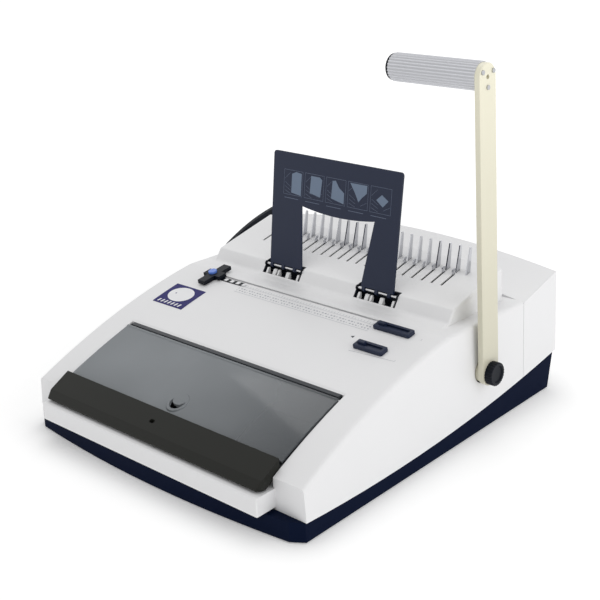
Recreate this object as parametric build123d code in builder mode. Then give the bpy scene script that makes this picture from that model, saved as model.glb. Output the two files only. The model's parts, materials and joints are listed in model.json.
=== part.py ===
from build123d import *
import os
from math import atan, cos, pi, radians, sin, tan

# Desktop punch and binding machine, in millimetres.
# X runs across the machine to the right, Y from front to back, Z up.
# The origin is on the desk, under the middle of the overall box.

os.makedirs("parts", exist_ok=True)

# Overall body
depth = 470.0
half_width = 210.0
wall = 3.0
draft_front = 4.0
draft_rear = 0.3
foot_height = 3.0
base_gap = 1.5
front_y = -depth / 2
rear_y = depth / 2
cheek_setback = 25.0
cheek_y = front_y + cheek_setback
above_all = 240.0
below_all = -40.0

# Lower edge of the white housing, an arc that rises to the rear
sill_front_z = 25.0
sill_mid = (-39.0, 19.0)
sill_rear_z = 46.0

# Side outline of the front housing
cheek_top_z = 56.0
brow = (-110.0, 99.0)
shoulder_start = (20.0, 131.0)
shoulder_rear_z = 129.0
edge_round = 4.0

# Raised comb unit across the top
hump_inset = 23.0
hump_half_width = half_width - hump_inset
hump_foot = (46.0, 132.5)
hump_crest = (55.5, 146.5)
hump_rear_y = 151.0
seam_reach = 10.0
seam_y = hump_rear_y + seam_reach
floor_slope = 13.8

# Rear cover arch
arch_front_side_z = 127.0
arch_front_crown_z = 145.0
arch_rear_side_z = 146.5
arch_rear_crown_z = 162.0
seam_gap = 0.6
rear_round = 3.0

# Front pocket between the cheeks
pocket_inset = 42.0
pocket_half = half_width - pocket_inset
pocket_rear_y = -104.5
pocket_rear_z = 100.0
pocket_brow_y = -90.0

# Dark base
base_inset = 1.0
base_half = half_width - base_inset
base_bow = 9.4
base_corner = 14.0
base_rear_inset = 18.0
base_rear_y = rear_y - base_rear_inset
base_rear_lean = 11.0
base_floor = 3.0
base_shelf_z = 21.5
base_shelf_reach = 5.0
foot_radius = 9.0
foot_inset = (34.0, 49.0)
foot_x = half_width - foot_inset[0]
foot_front_y = front_y + foot_inset[1]
foot_back_y = rear_y - foot_inset[1]
foot_places = [(x, y) for x in (-foot_x, foot_x) for y in (foot_front_y, foot_back_y)]
screw_head_radius = 4.0
screw_head_height = 1.2
screw_radius = 2.0
fit = 0.05
clearance = 0.3

# Side frames, screwed to the base floor
frame_inset = 37.5
frame_inner = half_width - frame_inset
frame_thick = 3.0
frame_front_y = -50.0
frame_rear_y = 148.0
frame_top_z = 124.0
flange_width = 20.0
flange_thick = 3.0
window_length = 23.6
window_mid_y = 42.6
bush_wall = 2.0
bush_flange = 1.5
tie_rod_radius = 5.0
tie_rods_at = ((-35.0, 90.0), (132.0, 34.0))
screw_rows = (-44.0, 60.0, 140.0)
screw_column = frame_inner - flange_width / 2
screw_places = [(x, y) for x in (-screw_column, screw_column) for y in screw_rows]

# Handle and its shaft
handle_axis = (78.7, 73.3)
shaft_radius = 6.0
handle_swing = 70.0
handle_length = 331.5
handle_lean = 1.4
arm_radius = 14.8
arm_thick = 6.5
arm_boss_radius = 13.0
arm_boss_thick = 8.4
arm_boss_gap = 1.5
hub_radius = 18.0
hub_inset = 4.5
hub_thick = 9.4
hub_outer_x = half_width - hub_inset
arm_inner_x = hub_outer_x + arm_boss_thick
grip_length = 118.5
grip_end_x = arm_inner_x - grip_length
grip_radius = 16.0
grip_flutes = 28
grip_flute_depth = 1.0
grip_cap_thick = 4.0
grip_core_radius = 6.0
arm_screw_circle = 11.0
arm_screw_turn = 30.0
arm_end_hole = 2.6
arm_screw_radius = 2.6
arm_screw_head = 1.4
arm_screw_shank = 1.5
arm_screw_length = 13.0
shaft_overhang = 7.0
spring_wire = 1.0
spring_pitch = 2.4
spring_turns = 5
knob_radius = 13.3
knob_thick = 9.0
side_reach = arm_inner_x + arm_thick + clearance + knob_thick
knob_stud_radius = 3.0
knob_stud_length = 12.0
knob_ribs = 24

# Punching dies and pins
hole_pitch = 14.2875
hole_count = 21
paper_gap = 3.0
paper_y = 13.5
slot_end_gap = 8.5
slot_half = frame_inner - slot_end_gap
front_die_depth = 7.5
rear_die_depth = 8.0
die_low_z = 98.0
die_top_z = 125.0
pin_width = 7.9
pin_height = 2.9
pin_z = 112.0
window_mid_z = pin_z
edge_margin = 4.3
pin_rest_gap = 1.2
punch_bar_front_y = 44.0
punch_bar_depth = 10.0
punch_bar_height = 12.0
rack_width = 8.0
rack_back = 7.5
rack_link_gap = 12.0
gear_module = 1.5
punch_teeth = 14
punch_gear_inset = 32.5
punch_gear_x = frame_inner - punch_gear_inset
backlash = 0.3

# Comb opener
comb_axis = (102.0, 120.0)
comb_shaft_radius = 5.0
comb_teeth = 29
comb_gear_inset = 22.5
comb_gear_x = frame_inner - comb_gear_inset
comb_swing = 60.0
hook_slot_width = 3.0
slot_wall = 1.2
hook_slot_start = 36.6
hook_slot_end = 64.5
finger_at = 70.0
finger_thick = 1.6
finger_base_width = 7.4
finger_tip_width = 3.4
finger_lean = 25.8
finger_length = 31.0
finger_foot_trim = 0.7
rail_low_depth = 7.3
rail_span = (66.5, 74.0)
finger_tip_round = 1.5
hook_span = (60.0, 63.5)
hook_rise = 6.0
hook_tip_reach = 2.5
rail_overhang = 5.5
rail_half = frame_inner + rail_overhang
carriage_front = 42.0
carriage_rear = 66.0
carriage_thick = 4.0
carriage_depth = 3.5
carriage_gap = 0.1
hook_thick = 1.5
lever_thick = 6.0
lever_spacer_inset = 0.6
lever_spacer_length = 5.0
lever_spacer_inner_x = half_width - lever_spacer_inset
lever_outer_x = lever_spacer_inner_x + lever_spacer_length + lever_thick
lever_width = 13.0
lever_hub_radius = 13.0
lever_spacer_radius = 10.0
lever_curve = ((96.5, 127.6), (142.5, 148.1), (204.5, 161.6))
lever_knob_radius = 8.0
lever_stud_radius = 3.0


def floor_z(y, below=0.0):
    """Height of the comb unit's sloping top at y, or of a plane that far below it."""
    rise = (y - hump_crest[0]) * tan(radians(floor_slope))
    return hump_crest[1] + rise - below / cos(radians(floor_slope))


def side_x(z, draft):
    """Half width at height z of a side wall leaning in by draft."""
    return half_width - (z - sill_front_z) * tan(radians(draft))


def below_sill(clear):
    """Solid under the white housing's lower edge, lowered by clear."""
    with BuildPart() as region:
        with BuildSketch(Plane.YZ):
            with BuildLine():
                start = (cheek_y - 60, sill_front_z + 2 - clear)
                middle = (sill_mid[0], sill_mid[1] - clear)
                end = (rear_y + 1, sill_rear_z - clear)
                ThreePointArc(start, middle, end)
                Polyline(end, (rear_y + 1, below_all), (cheek_y - 60, below_all), start)
            make_face()
        extrude(amount=half_width + 40, both=True)
    return region.part


def housing_envelope(inset):
    """Outer form of the front housing, or the same form drawn in by inset."""
    with BuildPart() as envelope:
        with BuildSketch(Plane.YZ):
            with BuildLine():
                Line((cheek_y, below_all), (cheek_y, cheek_top_z))
                ThreePointArc((cheek_y, cheek_top_z), brow, shoulder_start)
                back_y = seam_y + 3 * inset
                back = ((back_y, shoulder_rear_z), (back_y, below_all))
                Polyline(shoulder_start, *back, (cheek_y, below_all))
            make_face()
            if inset:
                offset(amount=-inset, kind=Kind.INTERSECTION)
        extrude(amount=half_width + 20, both=True)
        # The side walls lean in less and less towards the seam
        with BuildPart(mode=Mode.INTERSECT):
            for y, draft in ((cheek_y, draft_front), (seam_y, draft_rear)):
                low = side_x(below_all, draft) - inset
                high = side_x(above_all, draft) - inset
                with BuildSketch(Plane.XZ.offset(-y)):
                    with BuildLine():
                        Polyline(
                            (-low, below_all),
                            (low, below_all),
                            (high, above_all),
                            (-high, above_all),
                            close=True,
                        )
                    make_face()
            loft(ruled=True)
        if not inset:
            long_edges = [
                e
                for e in envelope.edges()
                if abs(e.center().X) > half_width - 20 and e.center().Z > cheek_top_z and e.length > 60
            ]
            fillet(long_edges, radius=edge_round)
    return envelope.part


def hump_envelope(inset, bottom):
    """Raised comb unit, or the same form drawn in by inset, down to height bottom."""
    rear_z = floor_z(hump_rear_y)
    with BuildPart() as hump:
        with BuildSketch(Plane.YZ):
            with BuildLine():
                outline = FilletPolyline(
                    (hump_foot[0] - 14, bottom),
                    (hump_foot[0] - 14, shoulder_start[1] - 0.5),
                    hump_foot,
                    hump_crest,
                    (hump_rear_y, rear_z),
                    (hump_rear_y, bottom),
                    radius=[0, 7.0, 4.0, 4.0],
                )
                Line(outline @ 1, outline @ 0)
            make_face()
            if inset:
                offset(amount=-inset, kind=Kind.INTERSECTION)
        extrude(amount=hump_half_width - inset, both=True, taper=0)
        if not inset:
            sides = [
                e
                for e in hump.edges()
                if abs(abs(e.center().X) - hump_half_width) < 1 and e.center().Z > hump_foot[1] + 3
            ]
            fillet(sides, radius=2.5)
    return hump.part


def pocket_region(grow):
    """Open space between the cheeks, grown by grow to leave the cheeks' inner walls."""
    with BuildPart() as pocket:
        with BuildSketch(Plane.YZ):
            with BuildLine():
                back_y = pocket_rear_y + grow
                brow_z = pocket_rear_z + (pocket_brow_y - pocket_rear_y) * 0.65
                Polyline(
                    (front_y - 40, below_all),
                    (back_y, below_all),
                    (back_y, pocket_rear_z - grow),
                    (pocket_brow_y + grow, brow_z - grow / 2),
                    (pocket_brow_y + 20 + grow, above_all),
                    (front_y - 40, above_all),
                    close=True,
                )
            make_face()
        extrude(amount=pocket_half + grow, both=True)
    return pocket.part


def table_z(y):
    """Height of the curved table surface at y, on the arc through its three points."""
    (ay, az), (by, bz), (cy, cz) = (cheek_y, cheek_top_z), brow, shoulder_start
    d = 2 * (ay * (bz - cz) + by * (cz - az) + cy * (az - bz))
    a2, b2, c2 = ay**2 + az**2, by**2 + bz**2, cy**2 + cz**2
    oy = (a2 * (bz - cz) + b2 * (cz - az) + c2 * (az - bz)) / d
    oz = (a2 * (cy - by) + b2 * (ay - cy) + c2 * (by - ay)) / d
    radius = ((ay - oy) ** 2 + (az - oz) ** 2) ** 0.5
    return oz + (radius**2 - (y - oy) ** 2) ** 0.5


def table_plane(x, y, lift=0.0):
    """Plane resting on the table at x, y, tilted to the surface there."""
    slope = table_z(y + 0.5) - table_z(y - 0.5)
    plane = Plane(origin=(x, y, table_z(y)), x_dir=(1, 0, 0), z_dir=(0, -slope, 1))
    return plane.offset(lift)


def comb_plane(height=0.0):
    """Plane of the comb unit's sloping top, with its origin at the crest."""
    a = radians(floor_slope)
    return Plane(
        origin=(0, hump_crest[0], hump_crest[1]), x_dir=(1, 0, 0), z_dir=(0, -sin(a), cos(a))
    ).offset(height)


def hole_x(index):
    """Place across the machine of a punched hole, counted from the left."""
    return (index - (hole_count - 1) / 2) * hole_pitch


def gear_outline(teeth, first_angle):
    """Points of a spur gear's outline with involute flanks and some backlash."""
    pitch_r = gear_module * teeth / 2
    base_r = pitch_r * cos(radians(20))
    tip_r = pitch_r + gear_module * 0.9
    root_r = pitch_r - gear_module * 1.25
    involute = tan(radians(20)) - radians(20)
    points = []
    for tooth in range(teeth):
        middle = radians(first_angle) + 2 * pi * tooth / teeth
        flank = []
        for share in (0.0, 0.35, 0.7, 1.0):
            r = max(base_r, root_r) + (tip_r - max(base_r, root_r)) * share
            pressure = max(0.0, 1 - (base_r / r) ** 2) ** 0.5 * r / base_r
            half = pi / (2 * teeth) + involute - (pressure - atan(pressure)) - backlash / 4 / pitch_r
            flank.append((r, half))
        flank.insert(0, (root_r, flank[0][1]))
        points += [(r * cos(middle - h), r * sin(middle - h)) for r, h in flank]
        points += [(r * cos(middle + h), r * sin(middle + h)) for r, h in reversed(flank)]
    return points


def rack_outline(length, back):
    """Points of a rack: pitch line on the first axis, teeth up, a tooth centred on 0."""
    tooth = pi * gear_module
    half_thick = tooth / 4 - backlash / 4
    slant = tan(radians(20))
    tip, root = gear_module * 0.85, -gear_module * 1.25
    first = -round(length[0] / tooth)
    last = round(length[1] / tooth)
    points = []
    for k in range(first, last + 1):
        c = k * tooth
        points.append((c - half_thick + root * slant, root))
        points.append((c - half_thick + tip * slant, tip))
        points.append((c + half_thick - tip * slant, tip))
        points.append((c + half_thick - root * slant, root))
    end = points[-1][0] + half_thick
    start = points[0][0] - half_thick
    return [(start, root)] + points + [(end, root), (end, -back), (start, -back)]


punch_pitch_r = gear_module * punch_teeth / 2
punch_travel = punch_pitch_r * radians(handle_swing)
comb_pitch_r = gear_module * comb_teeth / 2
hook_travel = comb_pitch_r * radians(comb_swing)
floor_top_z = base_gap + base_floor
print("punch travel", round(punch_travel, 3), "hook travel", round(hook_travel, 3))

# Margin guide, sliders and labels on the table
margin_guide_at = (-144.0, 7.0)
guide_arm_width = 12.0
guide_arm_length = 46.0
guide_cross_length = 28.0
guide_height = 5.0
guide_lift = 1.0
guide_tab_x = -136.8
guide_tab_thick = 1.4
guide_tab_low_z = 114.5
button_offset = -3.0
button_radius = 5.4
button_height = 6.4
button_lift = 2.4
scale_at = (-118.0, 7.0)
scale_length = 46.0
scale_width = 7.0
scale_thick = 0.6
pattern_slide_at = (144.0, 4.2)
pattern_slide_length = 50.0
pattern_knob_x = 129.0
mode_slide_at = (143.5, -35.0)
mode_slide_length = 40.0
mode_knob_x = 133.0
slide_width = 13.0
slide_height = 4.5
slide_end = 3.5
slide_track_width = 5.0
slide_track_depth = 2.0
slide_knob_length = 9.0
slide_knob_height = 3.0
label_x = (-177.0, -125.5)
label_y = (-66.0, -26.0)
label_thick = 0.5

# Paper rest and its sockets
rest_centre_x = 5.0
rest_half = 101.0
rest_low_half = 98.0
rest_length = 143.0
rest_start = 2.4
rest_thick = 2.6
rest_lean = 7.7
rest_corner = 4.0
rest_axis = (54.5, 143.6)
window_low_left = 45.8
window_low_right = 49.5
window_top_left = 51.5
window_top_right = 64.0
window_top = 81.0
window_sag = 5.0
socket_x = 74.5
socket_half = 31.0
socket_front_y = 46.5
socket_back_y = 61.0
socket_low_z = 130.0
socket_wall = 1.6
rest_rod_radius = 1.6
lug_radius = 3.2
lug_width = 4.0
lug_places = (-20.0, -1.0, 18.0)
rib_places = ((-25.0, 3.0), (-13.0, 5.0), (-6.5, 2.4), (9.0, 5.0), (26.0, 3.0))
rib_top = (51.2, 139.2)
rib_back_y = 53.4

# Smoked cover, press bar, ledge and storage tray
cover_rear = (-113.2, 97.4)
cover_front = (front_y + 39.0, 65.3)
cover_thick = 2.6
cover_bulge = 1.2
cover_bead_radius = 2.2
cover_side_gap = 1.6
cover_half = pocket_half - cover_side_gap
cover_pin_radius = 1.0
cover_pin_length = 8.0
cover_pin_end_gap = 0.6
notch_at = (-0.5, 72.0)
notch_radius = 9.6
notch_shift = 6.0
notch_rim_radius = 15.0
notch_rim_height = 2.8
notch_rim_taper = 40.0
strip_inset = 4.0
strip_half = pocket_half - strip_inset
strip_front_y = -110.7
strip_low_z = 94.3
bar_side_gap = 0.6
bar_half = pocket_half - bar_side_gap
bar_rear_y = front_y + 34.8
bar_rear_low_z = 58.0
bar_top_z = 71.4
bar_fold = (front_y + 10.7, 57.4)
bar_front = (front_y + 5.0, 47.0)
bar_under_y = front_y + 16.0
bar_fold_round = 3.0
bar_lip_round = 1.5
bar_end_cut = ((1.1, 0.2), (0.8, -12.6), (-0.8, -23.8), (-6.6, -29.9), (-10.4, -32.8))
bar_end_curve = [(bar_half + x, bar_rear_y + y) for x, y in bar_end_cut]
bar_hole_at = (-4.4, front_y + 21.5)
bar_hole_size = (7.0, 4.0)
bar_hole_depth = 4.0
guide_rod_radius = 4.0
guide_rod_inset = 28.0
guide_rod_x = pocket_half - guide_rod_inset
guide_rod_y = front_y + 20.0
guide_rod_low_z = 15.0
guide_boss_radius = 7.0
guide_boss_low_z = 30.0
ledge_overlap = 2.0
ledge_half = pocket_half + ledge_overlap
ledge_low_z = 25.4
ledge_top_z = 45.0
ledge_rear_y = front_y + 38.5
tray_top = ((-104.8, 94.0), (-114.0, 92.5), (front_y + 38.8, 60.0))
tray_low_z = 38.0
tray_step = (-147.0, 54.0)
tray_wall = 2.0

# Chip drawer, on the left
drawer_half = 36.0
drawer_height = 33.0
drawer_wall = 2.0
drawer_end_x = 120.0
drawer_face_x = -base_half
drawer_face_thick = 3.0
drawer_pull_radius = 9.0
drawer_pull_depth = 1.6


def drawer_opening(gap):
    """Space the chip drawer slides through, with a gap all round."""
    with BuildPart() as space:
        low = floor_top_z
        with BuildSketch(Plane.YZ.offset(-half_width - 10)):
            with Locations((0, low + (drawer_height + 2 * gap) / 2)):
                Rectangle(2 * drawer_half + 2 * gap, drawer_height + 2 * gap)
        extrude(amount=half_width - frame_inner + 30)
    return space.part


with BuildPart() as front_housing:
    add(housing_envelope(0))
    add(hump_envelope(0, 100.0))
    add(housing_envelope(wall), mode=Mode.SUBTRACT)
    add(hump_envelope(wall, 60.0), mode=Mode.SUBTRACT)
    # Inner walls of the pocket between the cheeks
    with BuildPart(mode=Mode.PRIVATE) as pocket_walls:
        add(pocket_region(wall))
        add(pocket_region(0), mode=Mode.SUBTRACT)
        add(housing_envelope(wall / 2), mode=Mode.INTERSECT)
    add(pocket_walls.part)
    add(pocket_region(0), mode=Mode.SUBTRACT)
    add(below_sill(0), mode=Mode.SUBTRACT)
    # Paper slot across the table
    with BuildSketch(Plane.XY.offset(table_z(paper_y) - 3 * wall)):
        with Locations((0, paper_y)):
            Rectangle(2 * slot_half, paper_gap)
    extrude(amount=6 * wall, mode=Mode.SUBTRACT)
    # Sockets for the paper rest
    for side in (-1, 1):
        with BuildSketch(Plane.YZ.offset(rest_centre_x + side * socket_x - socket_half)):
            with BuildLine():
                Polyline(
                    (socket_front_y, socket_low_z),
                    (socket_back_y, socket_low_z),
                    (socket_back_y, above_all),
                    (socket_front_y, above_all),
                    close=True,
                )
            make_face()
        extrude(amount=2 * socket_half, mode=Mode.SUBTRACT)
    # Slots for the comb hooks and holes for the fingers
    with BuildSketch(comb_plane(-2 * wall)):
        for i in range(hole_count):
            with Locations((hole_x(i), (hook_slot_start + hook_slot_end) / 2)):
                Rectangle(hook_slot_width, hook_slot_end - hook_slot_start)
        for i in range(hole_count + 1):
            with Locations((hole_x(i), finger_at)):
                foot = finger_base_width / cos(radians(finger_lean))
                Rectangle(finger_thick + 2 * clearance, foot + 2 * clearance)
    extrude(amount=4 * wall, mode=Mode.SUBTRACT)
    # The wall is thinner from below along the hook slots
    with BuildSketch(comb_plane(-slot_wall)):
        with Locations((0, (hook_slot_start + hook_slot_end) / 2)):
            Rectangle(hole_count * hole_pitch, hook_slot_end - hook_slot_start)
    extrude(amount=-wall, mode=Mode.SUBTRACT)
    # Holes for the two shafts
    with BuildSketch(Plane.YZ.offset(frame_inner + 10)):
        with Locations(handle_axis):
            Circle(arm_boss_radius + arm_boss_gap)
    extrude(amount=half_width, mode=Mode.SUBTRACT)
    with BuildSketch(Plane.YZ.offset(-frame_inner - 10)):
        with Locations(comb_axis):
            Circle(comb_shaft_radius + 2)
    extrude(amount=-50, mode=Mode.SUBTRACT)
    add(drawer_opening(clearance), mode=Mode.SUBTRACT)
front_housing.part.label = "front_housing"
export_step(front_housing.part, "parts/front_housing.step")
print("front_housing solids", len(front_housing.solids()))


def rear_envelope(inset):
    """Outer form of the rear cover, or the same form drawn in by inset."""
    with BuildPart() as cover:
        for y, side_z, crown_z in (
            (seam_y + seam_gap + inset, arch_front_side_z, arch_front_crown_z),
            (rear_y - inset, arch_rear_side_z, arch_rear_crown_z),
        ):
            with BuildSketch(Plane.XZ.offset(-y)):
                with BuildLine():
                    x = side_x(side_z, draft_rear) - inset
                    low = side_x(below_all, draft_rear) - inset
                    ThreePointArc((-x, side_z - inset), (0, crown_z - inset), (x, side_z - inset))
                    Polyline(
                        (x, side_z - inset), (low, below_all), (-low, below_all), (-x, side_z - inset)
                    )
                make_face()
        loft(ruled=True)
        if not inset:
            rear_edges = cover.faces().sort_by(Axis.Y)[-1].edges().filter_by(
                lambda e: e.center().Z > below_all + 10
            )
            fillet(rear_edges, radius=rear_round)
    return cover.part


with BuildPart() as rear_cover:
    add(rear_envelope(0))
    add(rear_envelope(wall), mode=Mode.SUBTRACT)
    add(below_sill(0), mode=Mode.SUBTRACT)
rear_cover.part.label = "rear_cover"
export_step(rear_cover.part, "parts/rear_cover.step")
print("rear_cover solids", len(rear_cover.solids()))


def base_outline(inset):
    """Plan of the base with its bowed front, drawn in by inset."""
    bow_y = cheek_y - 9.0
    with BuildSketch() as outline:
        with BuildLine():
            ThreePointArc(
                (-base_half + base_corner, bow_y),
                (0, bow_y - base_bow - 2),
                (base_half - base_corner, bow_y),
            )
            Polyline(
                (base_half - base_corner, bow_y),
                (base_half, cheek_y),
                (base_half, base_rear_y + base_rear_lean),
                (-base_half, base_rear_y + base_rear_lean),
                (-base_half, cheek_y),
                (-base_half + base_corner, bow_y),
            )
        make_face()
        if inset:
            offset(amount=-inset, kind=Kind.INTERSECTION)
    return outline.sketch


def behind_base(inset):
    """Space behind the base's leaning rear wall."""
    with BuildPart() as region:
        with BuildSketch(Plane.YZ):
            with BuildLine():
                Polyline(
                    (base_rear_y - inset, -20),
                    (base_rear_y - inset, base_gap),
                    (base_rear_y + base_rear_lean - inset, sill_rear_z),
                    (base_rear_y + base_rear_lean - inset, 90),
                    (rear_y + 40, 90),
                    (rear_y + 40, -20),
                    close=True,
                )
            make_face()
        extrude(amount=half_width + 20, both=True)
    return region.part


with BuildPart() as base_tray:
    with BuildSketch(Plane.XY.offset(base_gap)):
        add(base_outline(0))
    extrude(amount=70)
    add(behind_base(0), mode=Mode.SUBTRACT)
    with BuildPart(mode=Mode.PRIVATE) as base_hollow:
        with BuildSketch(Plane.XY.offset(floor_top_z)):
            add(base_outline(wall))
        extrude(amount=80)
        add(behind_base(wall), mode=Mode.SUBTRACT)
        # Shelf that closes the base in front of the cheeks
        with BuildSketch(Plane.XY.offset(base_shelf_z)):
            with Locations((0, cheek_y + base_shelf_reach)):
                Rectangle(2 * half_width, 60, align=(Align.CENTER, Align.MAX))
        extrude(amount=80, mode=Mode.SUBTRACT)
    add(base_hollow.part, mode=Mode.SUBTRACT)
    with BuildSketch(Plane.XY.offset(base_shelf_z)):
        with Locations((-guide_rod_x, guide_rod_y), (guide_rod_x, guide_rod_y)):
            Circle(guide_rod_radius + 1)
    extrude(amount=10, mode=Mode.SUBTRACT)
    add(below_sill(seam_gap / 2), mode=Mode.INTERSECT)
    add(drawer_opening(clearance), mode=Mode.SUBTRACT)
    # Pockets for the feet and holes for the frame screws
    with BuildSketch(Plane.XY.offset(base_gap)):
        with Locations(*foot_places):
            Circle(foot_radius + clearance)
    extrude(amount=foot_height - base_gap, mode=Mode.SUBTRACT)
    with BuildSketch(Plane.XY.offset(base_gap)):
        with Locations(*screw_places):
            Circle(screw_head_radius + clearance)
    extrude(amount=screw_head_height, mode=Mode.SUBTRACT)
    with BuildSketch(Plane.XY):
        with Locations(*screw_places):
            Circle(screw_radius + fit)
    extrude(amount=floor_top_z + 1, mode=Mode.SUBTRACT)
base_tray.part.label = "base_tray"
export_step(base_tray.part, "parts/base_tray.step")
print("base_tray solids", len(base_tray.solids()))

with BuildPart() as rubber_feet:
    with BuildSketch(Plane.XY):
        with Locations(*foot_places):
            Circle(foot_radius)
    extrude(amount=foot_height)
rubber_feet.part.label = "rubber_feet"
export_step(rubber_feet.part, "parts/rubber_feet.step")

with BuildPart() as base_screws:
    with BuildSketch(Plane.XY.offset(base_gap)):
        with Locations(*screw_places):
            Circle(screw_head_radius)
    extrude(amount=screw_head_height)
    with BuildSketch(Plane.XY.offset(base_gap)):
        with Locations(*screw_places):
            Circle(screw_radius)
    extrude(amount=base_floor + flange_thick)
base_screws.part.label = "base_screws"
export_step(base_screws.part, "parts/base_screws.step")


def comb_side(x):
    """Plane across the machine at x: first axis up the comb slope, second out of it."""
    a = radians(floor_slope)
    return Plane(origin=(x, hump_crest[0], hump_crest[1]), x_dir=(0, cos(a), sin(a)), z_dir=(1, 0, 0))


def under_comb(y):
    """Height of the side frames' sloping top edge at y."""
    return floor_z(y, carriage_depth + carriage_thick + carriage_gap)


def side_frame(side):
    """Steel side frame with a foot flange, windows and bores; side is -1 left or 1 right."""
    with BuildPart() as frame:
        with BuildSketch(Plane.YZ.offset(side * frame_inner)):
            with BuildLine():
                step_y = hump_crest[0]
                fall = wall + clearance
                Polyline(
                    (frame_front_y, floor_top_z),
                    (frame_front_y, table_z(frame_front_y) - fall - 1),
                    ((frame_front_y + shoulder_start[0]) / 2, table_z(-15) - fall),
                    (shoulder_start[0], frame_top_z),
                    (step_y, frame_top_z),
                    (step_y, under_comb(step_y)),
                    (frame_rear_y - wall, under_comb(frame_rear_y - wall)),
                    (frame_rear_y - wall, floor_top_z),
                    close=True,
                )
            make_face()
            with Locations(handle_axis):
                Circle(shaft_radius + bush_wall, mode=Mode.SUBTRACT)
            with Locations(comb_axis):
                Circle(comb_shaft_radius + bush_wall, mode=Mode.SUBTRACT)
            with Locations((window_mid_y, window_mid_z)):
                Rectangle(window_length, punch_bar_height + 2 * fit, mode=Mode.SUBTRACT)
        extrude(amount=side * frame_thick)
        with BuildSketch(Plane.XY.offset(floor_top_z)):
            with Locations((side * screw_column, (frame_front_y + frame_rear_y - wall) / 2)):
                Rectangle(flange_width, frame_rear_y - wall - frame_front_y)
            with Locations(*screw_places):
                Circle(screw_radius + fit, mode=Mode.SUBTRACT)
        extrude(amount=flange_thick)
        if side < 0:
            with BuildSketch(Plane.YZ.offset(-half_width)):
                with Locations((0, floor_top_z + drawer_height / 2)):
                    Rectangle(2 * drawer_half + 2, drawer_height + 4)
            extrude(amount=half_width - frame_inner + flange_width + 1, mode=Mode.SUBTRACT)
    return frame.part


side_frame_left = side_frame(-1)
side_frame_left.label = "side_frame_left"
export_step(side_frame_left, "parts/side_frame_left.step")

side_frame_right = side_frame(1)
side_frame_right.label = "side_frame_right"
export_step(side_frame_right, "parts/side_frame_right.step")
print("frames", len(side_frame_left.solids()), len(side_frame_right.solids()))

with BuildPart() as tie_rods:
    with BuildSketch(Plane.YZ.offset(-frame_inner)):
        with Locations(*tie_rods_at):
            Circle(tie_rod_radius)
    extrude(amount=2 * frame_inner)
tie_rods.part.label = "tie_rods"
export_step(tie_rods.part, "parts/tie_rods.step")


def bush_pair(centre, bore_radius):
    """Two flanged bushes, one in each side frame, round a shaft."""
    with BuildPart() as bushes:
        for side in (-1, 1):
            with BuildSketch(Plane.YZ.offset(side * frame_inner)):
                with Locations(centre):
                    Circle(bore_radius + bush_wall)
            extrude(amount=side * frame_thick)
            with BuildSketch(Plane.YZ.offset(side * (frame_inner + frame_thick))):
                with Locations(centre):
                    Circle(bore_radius + 2 * bush_wall)
            extrude(amount=side * bush_flange)
        with BuildSketch(Plane.YZ):
            with Locations(centre):
                Circle(bore_radius + fit)
        extrude(amount=half_width, both=True, mode=Mode.SUBTRACT)
    return bushes.part


shaft_bushes = bush_pair(handle_axis, shaft_radius)
shaft_bushes.label = "shaft_bushes"
export_step(shaft_bushes, "parts/shaft_bushes.step")

comb_shaft_bushes = bush_pair(comb_axis, comb_shaft_radius)
comb_shaft_bushes.label = "comb_shaft_bushes"
export_step(comb_shaft_bushes, "parts/comb_shaft_bushes.step")


def die_bar(start_y, bar_depth, half_length):
    """Upright die bar with a row of flat holes for the pins."""
    with BuildPart() as bar:
        with BuildSketch(Plane.XZ.offset(-start_y)):
            with Locations((0, (die_low_z + die_top_z) / 2)):
                Rectangle(2 * half_length, die_top_z - die_low_z)
            for i in range(hole_count):
                with Locations((hole_x(i), pin_z)):
                    Rectangle(pin_width + 2 * fit, pin_height + 2 * fit, mode=Mode.SUBTRACT)
        extrude(amount=-bar_depth)
    return bar.part


front_die = die_bar(paper_y - paper_gap / 2 - front_die_depth, front_die_depth, frame_inner)
front_die.label = "front_die"
export_step(front_die, "parts/front_die.step")

rear_die = die_bar(paper_y + paper_gap / 2, rear_die_depth, frame_inner)
rear_die.label = "rear_die"
export_step(rear_die, "parts/rear_die.step")

with BuildPart() as die_stop:
    with BuildSketch(Plane.XY.offset(die_low_z)):
        with Locations((0, paper_y)):
            Rectangle(2 * frame_inner, paper_gap)
    extrude(amount=pin_z - edge_margin - die_low_z)
die_stop.part.label = "die_stop"
export_step(die_stop.part, "parts/die_stop.step")

with BuildPart() as punch_bar:
    with BuildSketch(Plane.YZ.offset(-rail_half)):
        with Locations((punch_bar_front_y + punch_bar_depth / 2, pin_z)):
            Rectangle(punch_bar_depth, punch_bar_height)
    extrude(amount=2 * rail_half)
punch_bar.part.label = "punch_bar"
export_step(punch_bar.part, "parts/punch_bar.step")

with BuildPart() as punch_pins:
    pin_front_y = paper_y + paper_gap / 2 + pin_rest_gap
    with BuildSketch(Plane.XZ.offset(-pin_front_y)):
        for i in range(hole_count):
            with Locations((hole_x(i), pin_z)):
                Rectangle(pin_width, pin_height)
    extrude(amount=-(punch_bar_front_y - pin_front_y))
punch_pins.part.label = "punch_pins"
export_step(punch_pins.part, "parts/punch_pins.step")

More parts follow.
